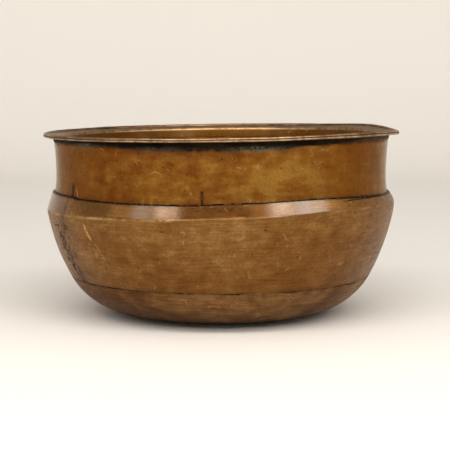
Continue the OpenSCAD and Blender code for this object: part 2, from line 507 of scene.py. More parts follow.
def neck_rows():
    lap = np.linspace(NECK_LOW_Z, NECK_SEAM_Z - 1, 5)
    flare = np.linspace(NECK_SEAM_Z, WAIST_Z, 12)[:-1]
    wall = np.linspace(WAIST_Z, NECK_TOP_Z, 30)
    return np.concatenate([lap, flare, wall])


def neck_columns(z):
    """Column azimuths (rows, columns) of the neck, and the columns left of its splits and its joint."""
    gaps = [(FRONT_SPLIT_AZ, SPLIT_HALF_DEG), (LEFT_SPLIT_AZ, SPLIT_HALF_DEG),
            (NECK_JOINT_AZ, NECK_JOINT_HALF_DEG)]
    az, lefts = columns_with_gaps(gaps)
    grid = az[None] + 0 * z[:, None]
    tops = [FRONT_SPLIT_TOP, LEFT_SPLIT_TOP, None]
    for (centre, half), top, slant, seed in zip(gaps, tops, (1.0, -0.5, 0), (31, 32, 33)):
        off = apart(az, centre)[None]
        line = on_wall(np.full_like(z, centre), WAIST_R, z)
        wander = 0.12 * noise(line, 3.5, seed) + 0.16 * noise(line, 9, seed)
        wander = wander + slant * ramp(z, NECK_SEAM_Z, NECK_SEAM_Z + 12) - slant / 2
        grid = grid + wander[:, None] * gauss(off, 1.5)
        if top:
            close = 0.75 * half * ramp(z, NECK_SEAM_Z, top)
            grid = grid - np.sign(off) * close[:, None] * gauss(np.abs(off) - half, 0.5)
    return grid, lefts


def neck_wall(az, z, depth):
    spot = on_wall(az, WAIST_R - depth, z)
    beat = 0.14 * noise(spot, 34, 34 + int(depth)) + 0.06 * noise(spot, 15, 35)
    return neck_r(z, depth) + beat * plateau(z, NECK_SEAM_Z, NECK_SEAM_Z + 3, 143, 146)


def neck_values(az, z):
    """Per-point values of the neck: for each name, those of the outer and of the inner face."""
    spot = on_wall(az, WAIST_R, z)
    seam_spot = on_wall(az, WAIST_R, NECK_SEAM_Z)
    ragged = 0.8 * noise(spot, 9, 36) + 0.5 * noise(spot, 4, 37)
    # Along the seam the neck is darkened: soot and painted shade where the shoulder's edge meets it.
    near_seam = 0.5 * gauss(z - NECK_SEAM_Z, 1.4 + 0.5 * ragged)
    above_bead_edge = z - BEAD_Z - bead_rise(az)
    # Just below the bead the neck is darkened, with a ragged edge: painted shadow under the flange and the
    # bead.
    painted_shadow_under_bead = 0.75 * ramp(above_bead_edge + 0.8 * ragged, -2.4, 0.3)
    stain = 0.35 * ramp(z + 1.5 * ragged, BEAD_Z - 9, BEAD_Z - 1) * near(az, -5, 14)
    # Along both splits the colour is darkened on both faces, wider than the open gaps: painted shade of the
    # gaps.
    split = (near(az, FRONT_SPLIT_AZ, 0.36) * (1 - ramp(z, FRONT_SPLIT_TOP - 1, FRONT_SPLIT_TOP + 1))
             + near(az, LEFT_SPLIT_AZ, 0.5) * (1 - ramp(z, LEFT_SPLIT_TOP - 1, LEFT_SPLIT_TOP + 1)))
    grime_and_shade = np.clip(near_seam + painted_shadow_under_bead + stain + 0.9 * split, 0, 1)
    crust = 0.6 * gauss(above_bead_edge + 0.8, 1.0) * crusty(az)
    # The dark line of the seam wanders a little above the shoulder's edge. It is soot and painted shade
    # where the edge meets the neck.
    dark_line = np.clip(z - NECK_SEAM_Z - 0.3 - 0.35 * noise(seam_spot, 5, 38), -9, 9)
    dark_line_on = 1.25 + 0.5 * noise(seam_spot, 12, 39) + 0.5 * near(az, 53, 7)
    dark_line_on = dark_line_on * (np.abs(dark_line) < 4)
    scratch, scratch_on = strokes(az, z, NECK_SCRATCHES)
    sides = near(az, -60, 11) + near(az, 62, 13)
    drawn_down = noise(on_wall(az, WAIST_R, 0.1 * z), 4, 42) * sides
    # The tint is lighter on the right front, a painted pool of light, and darker towards the top and on the
    # left, with streaks at the sides.
    tint = (-0.03 * ramp(z, 118, 146) - 0.03 * near(az, -54, 18) + 0.06 * drawn_down
            + 0.05 * near(az, 25, 12) * gauss(z - 120, 12)
            + 0.06 * near(az, 27, 6) * ramp(z, 115, 125) - 0.03 * near(az, 51, 5))
    warmth = 0.55 * near(az, -60, 13) + 0.65 * near(az, 50, 9)
    # deep gives brown stains above the seam and at the sides, and painted shade along the splits.
    deep = (0.3 * near(az, 8, 10) * gauss(z - NECK_SEAM_Z - 4, 3) + 0.12 * near(az, -62, 6)
            + 0.15 * near(az, 49, 4) + 0.5 * split)
    sleek = 0.8 * (near(az, -80, 9) + near(az, 80, 10))
    outer = {"grime_and_shade": grime_and_shade, "crust": crust, "tint": tint, "warmth": warmth, "sleek": sleek, "deep": deep,
             "dark_line": dark_line, "dark_line_on": dark_line_on, "scratch": scratch, "scratch_on": scratch_on}
    return both_faces(outer, {"grime_and_shade": np.clip(0.1 + split, 0, 1)})


def make_neck():
    z_rows = neck_rows()
    az, (front, left, joint) = neck_columns(z_rows)
    z = z_rows[:, None] + 0 * az
    present = np.ones((len(z_rows) - 1, az.shape[1]), bool)
    middle = (z_rows[1:] + z_rows[:-1]) / 2
    present[:, joint] = False
    present[middle < FRONT_SPLIT_TOP, front] = False
    present[middle < LEFT_SPLIT_TOP, left] = False
    z_in = z - STRIP_HALF * 0.45 * (z > NECK_TOP_Z - 0.01)
    outer = beaten(az, neck_wall(az, z, 0), z)
    inner = beaten(az, neck_wall(az, z_in, SHEET), z_in)
    piece = sheet_mesh("neck", outer, inner, present, neck_values(az, z))
    gap = az[:, [joint, joint + 1]]
    return piece, make_joint("neck_joint", z_rows, gap, neck_wall, lambda h: h, 0.04, 0.05)


def make_joint(name, z_rows, gap, wall, inner_z, crown, grime_and_shade):
    """The braze that fills a side joint: gap holds the azimuths of its two edges in each row."""
    across = np.linspace(0, 1, 5)
    strips = []
    for depth, order, proud in ((0, across, crown), (SHEET, across[::-1], -0.05)):
        for t in order:
            az = gap[:, 0] + (gap[:, 1] - gap[:, 0]) * t
            z = z_rows if depth == 0 else inner_z(z_rows)
            bulge = proud * math.sin(math.pi * t)
            strips.append(beaten(az, wall(az, z, depth) + bulge, z))
    section = np.array(strips)
    plain = np.zeros(section.shape[:2])
    return strip_mesh(name, section, {"grime_and_shade": plain + grime_and_shade})


def make_neck_seam():
    """The braze between the neck's lower edge and the shoulder that covers it, a little below the edge."""
    az = even_columns()
    top = NECK_SEAM_Z - 0.45 + 0.25 * noise(on_wall(az, 139, NECK_SEAM_Z), 7, 41)
    z = np.linspace(0, 1, 5)[:, None] * (top - NECK_LOW_Z) + NECK_LOW_Z
    outer_r = body_wall(az, z, SHEET) - FIT_GAP
    inner_r = neck_r(z[::-1]) + FIT_GAP
    r = np.concatenate([outer_r, np.minimum(inner_r, outer_r[::-1] - FIT_GAP)])
    zs = np.concatenate([z, z[::-1]])
    points = beaten(az, r, zs)
    return ring_mesh("neck_seam", points, {"grime_and_shade": 0.95 + 0 * r})


# -------------------- body

TOOTH_REACH_DEG = 0.5
BODY_JOINT_HALF_DEG = 0.14

# Dark marks by the side joint, in front and under the seam at the right, as (azimuth, height, strength)
BODY_CRACKS = [
    [(-68.5, 83.0, 0.9), (-61.5, 83.4, 0.9)],
    [(-66.5, 75.5, 0.8), (-65.5, 70.5, 1.0), (-63.5, 64.0, 1.0), (-61.5, 57.0, 0.8)],
    [(-60.5, 51.5, 0.9), (-59.0, 46.0, 0.9), (-59.5, 40.0, 0.7)],
    [(-18.9, 84.2, 1.0), (-18.0, 83.8, 1.0)],
    [(13.1, 83.5, 1.0), (13.6, 83.5, 1.0)],
    [(41.0, 100.8, 0.7), (45.0, 101.6, 1.1), (51.0, 102.3, 1.0), (56.0, 102.4, 0.6)],
]
BODY_SCRATCHES = [
    [(-47.5, 87.5, 1.0), (-47.1, 84.0, 4.6), (-46.7, 81.0, 3.4), (-45.9, 76.5, 3.6), (-45.0, 73.0, 0.4),
     (-43.1, 69.0, 0.6), (-41.5, 61.3, 0.6), (-40.6, 55.0, 0.8), (-39.7, 50.2, 0.3)],
    [(-56.0, 89.0, 0.6), (-52.0, 90.4, 0.6)],
    [(-10.0, 66.0, 0.2), (4.0, 67.5, 0.25)],
    [(8.0, 74.0, 0.2), (22.0, 75.0, 0.25)],
    [(-6.0, 56.0, 0.3), (-2.0, 49.0, 0.2)],
    [(28.0, 60.0, 0.2), (33.0, 50.0, 0.25)],
]


def above_ridge(z):
    return ramp(z, RIDGE_Z - 1, RIDGE_Z + 2)


def between_windows(az):
    """The front of the shoulder, from one burnished place to the other."""
    return plateau(az, -14, -9, 12, 20)


def body_rows():
    belly = np.linspace(BASE_SEAM_Z, RIDGE_Z - 3, 42)
    ridge = np.linspace(RIDGE_Z - 2.4, RIDGE_Z + 2.4, 13)
    shoulder = np.linspace(RIDGE_Z + 3, NECK_SEAM_Z, 10)
    return np.concatenate([belly, ridge, shoulder])


def ridge_softness(az):
    """Size of the rounding of the ridge: crisp on the left, worn round on the right."""
    return 0.4 + 1.2 * plateau(apart(az, 0), 35, 70, 120, 160)


def body_wall(az, z, depth):
    soft = ridge_softness(az) + 0.3 * depth
    r = body_r(z, soft, depth)
    rise = np.clip((z - RIDGE_Z) / (NECK_SEAM_Z - RIDGE_Z), 0, 1)
    flare = 1.5 * near(az, 54, 10) * rise ** 2
    spot = on_wall(az, RIDGE_R - depth, z)
    dents = 0.10 * noise(spot, 22, 51 + int(depth)) + 0.06 * noise(spot, 11, 52)
    hammer = dents + 0.03 * noise(spot, 4.5, 53)
    burnish = 0.10 * noise(spot, 30, 54) + 0.04 * noise(spot, 14, 55)
    above = above_ridge(z)
    calm = ramp(z, BASE_SEAM_Z, BASE_SEAM_Z + 3)
    return r + flare + (hammer * (1 - above) + burnish * above) * calm


def tooth(z):
    """The zigzag of the body's side joint, from -1 to 1."""
    pitch = (NECK_SEAM_Z + SHEET - BASE_SEAM_Z) / TEETH
    t = (z - BASE_SEAM_Z) / pitch
    return 2 * np.abs((t % 2) - 1) - 1


def shoulder_polish(az):
    """How far the shoulder is burnished at each azimuth, most of all to either side of the front."""
    front_az = apart(az, 0)
    left = 0.8 * plateau(front_az, -30, -25, -14.5, -9.5) * (1 - 0.6 * dark_patch(az))
    right = plateau(front_az, 12, 17, 29, 37) * (0.85 + 0.5 * ramp(front_az, 22, 32))
    return left + right + 0.7 * near(az, 135, 20) + 0.7 * near(az, -125, 20)


def dark_patch(az):
    """A dull stripe in the left burnished place."""
    return near(az, -21, 1.8)


def body_values(az, z, joint_off):
    """Per-point values of the body: joint_off is the angle from its side joint."""
    front_az = apart(az, 0)
    above = above_ridge(z)
    front = between_windows(front_az)
    spot = on_wall(az, RIDGE_R, z)
    patchy = noise(spot, 13, 58) + 0.6 * noise(spot, 5, 59)
    middle = plateau(front_az, -17, -12, 32, 50)
    worn_way = 0.15 + 0.55 * near(az, -42, 20)
    wear = gauss(z - RIDGE_Z, 0.6) * np.clip(worn_way + 0.6 * patchy, 0, 1) * (1 - 0.7 * middle)
    smudge = 0.3 * noise(on_wall(az, 140, 0.3 * z), 10, 60)
    shine = np.clip(0.05 + shoulder_polish(az) * (1 + smudge), 0, 1.3)
    shine = ramp(z, RIDGE_Z + 0.2, RIDGE_Z + 1.8) * shine
    # The darkening is soiling by the side joint and in the dull stripe, dark deposit and painted shade
    # along the shoulder's top edge and the base seam, and painted shade over the ridge at the front, where
    # it dims the lamps' reflection.
    grime_and_shade = (0.3 * gauss(joint_off, 0.8) + 0.25 * gauss(joint_off, 3) * (1 - above) * (1 + patchy)
             + 0.3 * gauss(z - BASE_SEAM_Z, 1.2) + 0.8 * gauss(z - NECK_SEAM_Z, 0.5)
             + 0.22 * middle * gauss(z - RIDGE_Z, 1.2) + 0.2 * above * dark_patch(az))
    # On the shoulder deep is painted shade: it darkens the front between the burnished places and the far
    # sides, and dulls the colour under the two highlights. The mottled part on the right is patina.
    deep = above * (0.3 * front + 0.2 * near(az, 0, 5) + 0.4 * near(az, -64, 8) + 0.2 * near(az, -24, 7)
                    + 0.25 * near(az, 21, 4) + 0.35 * near(az, 64, 7)
                    + 0.15 * patchy * ramp(front_az, 36, 44))
    dark_line, dark_line_on = strokes(az, z, BODY_CRACKS)
    scratch, scratch_on = strokes(az, z, BODY_SCRATCHES)
    # The belly is lighter just under the ridge and in front, and darker on the right and low down; the
    # darkening low down is partly painted shade and partly duller patina.
    tint = (0.03 * gauss(z - 84, 7) - 0.03 * (1 - ramp(z, 34, 60)) - 0.04 * near(az, 48, 16)
            + 0.04 * near(az, 3, 12) * gauss(z - 78, 10) - 0.03 * near(az, 5, 15) * (1 - ramp(z, 40, 54)))
    # On the shoulder the tint is painted light and shade: darker at the front between the burnished places
    # and at the far left, lighter just outside each burnished place.
    tint = tint + above * (0.05 * near(az, -41, 4) - 0.1 * front - 0.1 * near(az, -60, 6)
                           + 0.12 * near(az, 39, 6) + 0.05 * patchy * ramp(front_az, 33, 40))
    warmth = above * (0.85 * near(az, -52, 12) + 0.8 * ramp(front_az, 29, 38))
    sleek = above * (1 - 0.9 * ramp(front_az, 28, 36))
    pitted = 0.12 + near(az, BODY_JOINT_AZ - 1.5, 3.2) * plateau(z, 33, 40, 84, 88)
    outer = {"wear": wear, "grime_and_shade": np.clip(grime_and_shade, 0, 1), "shine": shine, "sleek": sleek, "tint": tint,
             "dark_line": dark_line, "dark_line_on": dark_line_on, "pitted": pitted, "warmth": np.clip(warmth, 0, 1),
             "deep": np.clip(deep, 0, 1), "scratch": scratch, "scratch_on": scratch_on}
    return both_faces(outer, {"grime_and_shade": 0.1 + 0 * z})


def make_body():
    z_rows = body_rows()
    az_row, (joint,) = columns_with_gaps([(BODY_JOINT_AZ, BODY_JOINT_HALF_DEG)])
    off = apart(az_row, BODY_JOINT_AZ)
    slant = blend_levels(z_rows, [50, 64, 76, RIDGE_Z, NECK_SEAM_Z], [1.5, -3.2, -0.3, 1.0, 2.7])
    line = on_wall(np.full_like(z_rows, BODY_JOINT_AZ), RIDGE_R, z_rows)
    shift = (slant + TOOTH_REACH_DEG * tooth(z_rows) + 0.15 * noise(line, 6, 56))[:, None]
    az = az_row[None] + shift * (gauss(off, 14) * (np.abs(off) < 60))[None]
    z = z_rows[:, None] + 0 * az
    present = np.ones((len(z_rows) - 1, az.shape[1]), bool)
    present[:, joint] = False
    # The top edge dips at the right and is a little uneven all round
    top = ramp(z, NECK_SEAM_Z - 3, NECK_SEAM_Z)
    z = z - top * (0.8 * near(az, 54, 10) + 0.15 * noise(on_wall(az, SHOULDER_R, z), 8, 57))
    outer = beaten(az, body_wall(az, z, 0), z)
    z_in = inner_belly_z(z)
    inner = beaten(az, body_wall(az, z_in, SHEET), z_in)
    values = body_values(az, z, apart(az, BODY_JOINT_AZ) - shift)
    piece = sheet_mesh("body", outer, inner, present, values)
    gap = az[:, [joint, joint + 1]]
    return piece, make_joint("body_joint", z_rows, gap, body_wall, inner_belly_z, 0.05, 0.4)


def inner_belly_z(z):
    """Height of the inner face behind a height on the outer face: square to the wall low on the belly."""
    return z + SHEET * np.sin(np.radians(lean_at(z))) * (1 - ramp(z, 55, 80))


# -------------------- base


def arcsin_deg(value):
    return math.degrees(math.asin(value))


LAP_LENGTH = 6.0
LAP_LEAN = SEAM_LEAN - arcsin_deg(LAP_LENGTH / BELLY_R)
# The flat of the foot is meshed in to this radius and closed by one round face
POLE_R = 1.5

# Scratches in the base, each a list of (azimuth, height, strength)
BASE_SCRATCHES = [
    [(-12.6, 29.0, 0.6), (-12.2, 22.0, 0.5), (-13.5, 16.0, 0.4)],
    [(-0.5, 28.0, 0.3), (3.0, 21.0, 0.4), (5.6, 14.8, 0.3)],
    [(17.0, 27.0, 0.2), (20.0, 20.0, 0.3)],
]


def arc(centre, radius, leans, depth):
    """Radii and heights on an arc of the outline, at these leans and this deep in the sheet."""
    a = np.radians(leans)
    return centre[0] + (radius - depth) * np.cos(a), centre[1] - (radius - depth) * np.sin(a)


def base_face(depth, count_turn, count_dome):
    """Radii, heights and leans of one face of the base, from the seam to near the axis."""
    turn_leans = np.linspace(SEAM_LEAN, DOME_LEAN, count_turn)
    dome_leans = np.linspace(DOME_LEAN, 90, count_dome)[1:]
    turn = arc(TURN_C, TURN_R, turn_leans, depth)
    dome = arc(DOME_C, DOME_R, dome_leans, depth)
    flat_r = np.linspace(FOOT_R, POLE_R, 14)[1:]
    r = np.concatenate([turn[0], dome[0], flat_r])
    z = np.concatenate([turn[1], dome[1], 0 * flat_r + depth])
    lean = np.concatenate([turn_leans, dome_leans, 90 + 0 * flat_r])
    return r, z, lean


def base_outline():
    """Outline of the base: radii, heights, leans, and the face: 1 outer, -1 inner, 0 in the lap."""
    step_lean = SEAM_LEAN + arcsin_deg(2 * SHEET / TURN_R)
    half_lap = (SEAM_LEAN + LAP_LEAN) / 2
    outer = base_face(0, 34, 12)
    inner = base_face(SHEET, 30, 12)
    inner = [part[inner[2] > step_lean][::-1] for part in inner]
    back, front = 2 * SHEET + BRAZE, SHEET + BRAZE
    lap = [(TURN_C, TURN_R, step_lean, back), (TURN_C, TURN_R, SEAM_LEAN, back),
           (BELLY_C, BELLY_R, half_lap, back), (BELLY_C, BELLY_R, LAP_LEAN, back),
           (BELLY_C, BELLY_R, LAP_LEAN, front), (BELLY_C, BELLY_R, half_lap, front),
           (BELLY_C, BELLY_R, SEAM_LEAN, front)]
    lap_points = np.array([arc(*corner) for corner in lap])
    lap_leans = np.array([step_lean] + [SEAM_LEAN] * (len(lap) - 1))
    r, z, lean = [np.concatenate(parts)[:, None] for parts in
                  zip(outer, inner, (lap_points[:, 0], lap_points[:, 1], lap_leans))]
    face = np.repeat([1, -1, 0], [len(outer[0]), len(inner[0]), len(lap)])[:, None]
    return r, z, lean, face


def base_values(az, r, z, outer):
    """Per-point values of the base. outer is 1 on the outer face and 0 elsewhere."""
    spot = on_wall(az, r, z)
    seam_spot = on_wall(az, 127, 34)
    # Near the floor the base is darkened: painted shade in the gap over the floor. The band at the seam is
    # dark braze and painted shade under the body's lapped edge.
    grime_and_shade = (0.4 * gauss(z - BASE_SEAM_Z, 0.8) + 0.75 * (1 - ramp(z, 2.5, 10))) * outer + 0 * az
    sides = near(az, -22, 8) + near(az, 28, 12)
    tint = (0.07 * noise(spot, 26, 67) + 0.05 * noise(spot, 10, 68) - 0.05 * near(az, -36, 12)
            + 0.04 * sides * ramp(z, 18, 25))
    # The dark line at the seam is dark braze and painted shade under the body's lapped edge.
    dark_line = 0.5 + 0.3 * noise(seam_spot, 4, 64) + z - BASE_SEAM_Z
    dark_line_on = 0.45 + 0.9 * noise(seam_spot, 14, 65) + 0.4 * near(az, -48, 10)
    scratch, scratch_on = strokes(az, z + 0 * az, BASE_SCRATCHES)
    return {"grime_and_shade": grime_and_shade, "tint": tint, "dark_line": np.clip(dark_line, -9, 9),
            "dark_line_on": np.clip(dark_line_on, 0, 1) * outer * (np.abs(dark_line) < 4),
            "scratch": scratch, "scratch_on": scratch_on * outer}


def make_base():
    r, z, lean, face = base_outline()
    az = even_columns() + 0 * r
    spot = on_wall(az, r, z)
    beat = 0.10 * noise(spot, 24, 61) + 0.06 * noise(spot, 10, 62) + 0.025 * noise(spot, 4.5, 63)
    beat = beat * plateau(z, 0.3, 3, BASE_SEAM_Z - 3, BASE_SEAM_Z) * face
    beaten_r = r + beat * np.cos(np.radians(lean))
    beaten_z = z - beat * np.sin(np.radians(lean))
    points = beaten(az, beaten_r, beaten_z)
    points[..., 2] = np.maximum(points[..., 2], 0)
    outer = face > 0
    values = base_values(az, r, z, outer)
    values["grime_and_shade"] = np.clip(values["grime_and_shade"] + 0.15 * (face < 0), 0, 1)
    values["wear"] = 0.3 * gauss(beaten_r - FOOT_R - 4, 6) * outer
    return capped_ring("base", points, np.count_nonzero(outer), values)


def capped_ring(name, section, split, values):
    """A dish: its outline starts at the seam, reaches the axis after split points and comes back."""
    count, cols = section.shape[:2]
    index = np.arange(count * cols).reshape(count, cols)
    up, beside = np.roll(index, -1, axis=0), np.roll(index, -1, axis=1)
    rows = np.arange(count) != split - 1
    faces = [quads(index[rows], beside[rows], np.roll(up, -1, axis=1)[rows], up[rows])]
    faces += [index[split - 1][None, :], index[split][None, ::-1]]
    return finished(name, section, faces, values)


def make_base_seam():
    """The braze in the lap between belly and base. Its outer face shows as a broken hairline."""
    az = even_columns()
    end_lean = SEAM_LEAN - arcsin_deg(BRAZE / BELLY_R)
    corners = [(LAP_LEAN, SHEET), (end_lean, SHEET), (end_lean, 0), (SEAM_LEAN, 0),
               (SEAM_LEAN, SHEET + BRAZE), (LAP_LEAN, SHEET + BRAZE)]
    outline = np.array([arc(BELLY_C, BELLY_R, lean, depth) for lean, depth in corners])
    sunk = 0.25 + 0.25 * noise(on_wall(az, 126, 34), 12, 66)
    r = outline[:, :1] + 0 * az
    z = outline[:, 1:] + 0 * az
    r[2:4] -= sunk * outward(SEAM_LEAN)[0]
    z[2:4] -= sunk * outward(SEAM_LEAN)[1]
    points = beaten(az, r, z)
    return ring_mesh("base_seam", points, {"grime_and_shade": 0.8 + 0 * r})


# -------------------- materials


class Shader:
    """A material being built. Most methods add nodes and return the socket that holds the result."""

    def __init__(self, name):
        self.material = bpy.data.materials.new(name)
        self.material.use_nodes = True
        self.tree = self.material.node_tree
        self.surface = self.tree.nodes["Principled BSDF"]
        self.place = self.add("TexCoord").outputs["Object"]

    def set(self, socket, value):
        if isinstance(value, bpy.types.NodeSocket):
            self.tree.links.new(value, socket)
        else:
            socket.default_value = value

    def add(self, kind, **inputs):
        """A new node, with these inputs set."""
        node = self.tree.nodes.new("ShaderNode" + kind)
        for name, value in inputs.items():
            self.set(node.inputs[name], value)
        return node

    def look(self, values):
        """Sets inputs of the surface, by their names."""
        for name, value in values.items():
            self.set(self.surface.inputs[name], value)

    def noise(self, size_mm, detail=3.0, rough=0.55, stretch=None):
        """Noise from 0 to 1 whose features are about size_mm across; stretch scales x, y and z."""
        place = self.place
        if stretch:
            place = self.add("Mapping", Scale=stretch, Vector=place).outputs["Vector"]
        node = self.add("TexNoise", Scale=1 / (size_mm * MM), Detail=detail, Roughness=rough, Vector=place)
        return node.outputs["Fac"]

    def maths(self, operation, a, b=0.0, c=0.0, clamp=False):
        node = self.add("Math")
        node.operation = operation
        node.use_clamp = clamp
        for socket, value in zip(node.inputs, (a, b, c)):
            self.set(socket, value)
        return node.outputs[0]

    def times(self, a, b, clamp=False):
        return self.maths("MULTIPLY", a, b, clamp=clamp)

    def between(self, value, low, high, to_low=0.0, to_high=1.0):
        node = self.add("MapRange")
        node.interpolation_type = "SMOOTHSTEP"
        for socket, v in zip(node.inputs, (value, low, high, to_low, to_high)):
            self.set(socket, v)
        return node.outputs[0]

    def tones(self, value, stops):
        node = self.add("ValToRGB", Fac=value)
        elements = node.color_ramp.elements
        while len(elements) < len(stops):
            elements.new(0.5)
        for element, (at, colour) in zip(elements, stops):
            element.position = at
            element.color = (*colour, 1)
        return node.outputs["Color"]

    def mixed(self, amount, a, b):
        node = self.add("Mix")
        node.data_type = "RGBA"
        for key, v in (("Factor_Float", amount), ("A_Color", a), ("B_Color", b)):
            socket = next(s for s in node.inputs if s.identifier == key)
            self.set(socket, (*v, 1) if isinstance(v, tuple) else v)
        return next(s for s in node.outputs if s.identifier == "Result_Color")

    def value_of(self, name):
        node = self.add("Attribute")
        node.attribute_name = name
        return node.outputs["Fac"]

    def bump(self, height, distance_mm, strength, below=None):
        node = self.add("Bump", Strength=strength, Distance=distance_mm * MM, Height=height)
        if below is not None:
            self.set(node.inputs["Normal"], below)
        return node.outputs["Normal"]

    def drawn(self, name, half_mm, wobble_mm, gap_mm):
        """A thin uneven line where the value name passes 0. name_on is its strength and sets its width."""
        on = self.value_of(name + "_on")
        across = self.maths("MULTIPLY_ADD", self.noise(2.4, 2), 2 * wobble_mm, self.value_of(name))
        across = self.maths("ABSOLUTE", self.maths("SUBTRACT", across, wobble_mm))
        edge = self.maths("MULTIPLY_ADD", on, 1.4 * half_mm, 0.01)
        line = self.between(across, self.times(on, 0.5 * half_mm), edge, 1.0, 0.0)
        line = self.times(line, self.times(on, 1.5, clamp=True))
        firm = self.maths("MINIMUM", on, 1.4)
        solid = self.maths("MULTIPLY_ADD", firm, 0.06, self.noise(gap_mm, 2))
        return self.times(line, self.between(solid, 0.42, 0.52), clamp=True)

    def curls(self, size_mm, half_mm, share):
        """Fine curved scratches: contour lines of a smooth noise, kept where another noise is high."""
        away = self.maths("ABSOLUTE", self.maths("SUBTRACT", self.noise(size_mm, 0.0), 0.5))
        line = self.between(away, 0.2 * half_mm / size_mm, half_mm / size_mm, 1.0, 0.0)
        kept = self.between(self.noise(0.7 * size_mm, 2), 1 - share, 1.08 - share)
        return self.times(line, kept)


CRUST_COLOUR = (0.16, 0.17, 0.12)
# Near black, for soiling and for painted shade
GRIME_AND_SHADE_COLOUR = (0.012, 0.005, 0.004)
SCRATCH_COLOUR = (0.50, 0.29, 0.10)
# Brown patina and painted shade where the value deep is 1
PATINA_AND_SHADE_COLOUR = (0.075, 0.022, 0.001)


def patina(s, tones, mottle, spread):
    """Patches of the tones, whose edges are as soft as spread."""
    tone = s.value_of("tint")
    streak = s.noise(16, 3, 0.6, (1, 1, 3))
    for part, share in ((s.noise(40, 2), 0.25), (s.noise(11, 3), 0.3), (streak, 0.25), (mottle, 0.2)):
        tone = s.maths("MULTIPLY_ADD", part, share, tone)
    places = [0.5 - spread, 0.5 - spread / 3, 0.5 + spread / 3, 0.5 + spread]
    return s.tones(tone, list(zip(places, tones)))


def grain(s, mottle, fine, hatch):
    """How far fine grain and polishing lines darken the metal."""
    lines = s.noise(22, 2, 0.6, (1, 1, 26))
    shade = s.times(s.between(mottle, 0.34, 0.66), 0.16)
    shade = s.maths("MULTIPLY_ADD", s.between(fine, 0.3, 0.7), 0.22, shade)
    return s.maths("MULTIPLY_ADD", s.between(lines, 0.35, 0.65), hatch, shade)


def bare_metal(s, mottle, flecks):
    """Worn places, bright nicks and fine curved scratches."""
    nick = s.times(s.between(s.noise(1.9, 3, 0.7), 0.66, 0.74), flecks)
    nick = s.maths("MAXIMUM", nick, s.times(s.curls(13, 0.5, 0.42), flecks))
    wear = s.times(s.value_of("wear"), s.between(mottle, 0.35, 0.6, 0.3, 1.0))
    return s.maths("MAXIMUM", wear, nick, clamp=True)


def dirt_and_shade(s, mottle, specks):
    """Soiling and painted shade, dark specks, crooked pits and the drawn dark lines."""
    grime_and_shade = s.times(s.value_of("grime_and_shade"), s.between(mottle, 0.3, 0.7, 0.7, 1.2))
    speck = s.times(s.between(s.noise(2.6, 2), 0.68, 0.74), specks)
    pits = s.times(s.curls(6, 0.8, 0.55), s.value_of("pitted"))
    grime_and_shade = s.maths("MAXIMUM", s.maths("MAXIMUM", grime_and_shade, speck), pits)
    return s.maths("MAXIMUM", grime_and_shade, s.drawn("dark_line", 0.6, 0.45, 3.3), clamp=True)


def brass(name, tones, worn, gloss, metallic=1.0, spread=0.1, hatch=0.0, specks=0.0, flecks=0.0, shine=0.0,
          warm=None, edge=(0.95, 0.9, 0.83)):
    """Aged brass. tones run from the darkest patina to the lightest, worn is the bare metal.

    gloss is the range of roughness and spread how soft the change of tones is. hatch is the strength of
    fine polishing lines, specks and flecks the strength of dark specks and bright nicks, shine the coat's
    weight where the value shine is 1, warm the colour where the value warmth is 1, and edge the tint of
    the metal seen at a flat angle."""
    s = Shader(name)
    mottle = s.noise(4.5, 4, 0.6)
    fine = s.noise(1.5, 3, 0.6)
    shade = grain(s, mottle, fine, hatch)
    grime_and_shade = dirt_and_shade(s, mottle, specks)
    crust = s.times(s.value_of("crust"), s.between(fine, 0.4, 0.6, 0.2, 1.1), clamp=True)
    colour = patina(s, tones, mottle, spread)
    if warm:
        colour = s.mixed(s.value_of("warmth"), colour, warm)
    colour = s.mixed(shade, colour, tuple(0.3 * c for c in tones[0]))
    colour = s.mixed(s.value_of("deep"), colour, PATINA_AND_SHADE_COLOUR)
    colour = s.mixed(bare_metal(s, mottle, flecks), colour, worn)
    colour = s.mixed(s.drawn("scratch", 0.35, 0.5, 2.7), colour, SCRATCH_COLOUR)
    colour = s.mixed(grime_and_shade, colour, GRIME_AND_SHADE_COLOUR)
    colour = s.mixed(crust, colour, CRUST_COLOUR)
    rough = s.between(shade, 0.05, 0.4, gloss[0], gloss[1])
    rough = s.times(rough, s.between(s.value_of("sleek"), 0.0, 1.0, 1.0, 0.5))
    rough = s.maths("MULTIPLY_ADD", grime_and_shade, 0.25, rough)
    rough = s.maths("MULTIPLY_ADD", crust, 0.35, rough, clamp=True)
    dull = s.maths("MAXIMUM", s.times(grime_and_shade, 0.4), crust)
    normal = s.bump(s.noise(7, 3), 0.25, 0.5)
    normal = s.bump(mottle, 0.08, 0.5, normal)
    normal = s.bump(fine, 0.04, 0.4, normal)
    metal = s.maths("MULTIPLY_ADD", dull, -0.9, metallic, clamp=True)
    s.look({"Base Color": colour, "Metallic": metal, "Roughness": rough, "Normal": normal,
            "Specular IOR Level": 0.15, "Specular Tint": (*edge, 1)})
    if shine:
        coat = s.times(s.value_of("shine"), shine)
        s.look({"Coat Weight": coat, "Coat Roughness": 0.12, "Coat IOR": 2.2})
    return s.material


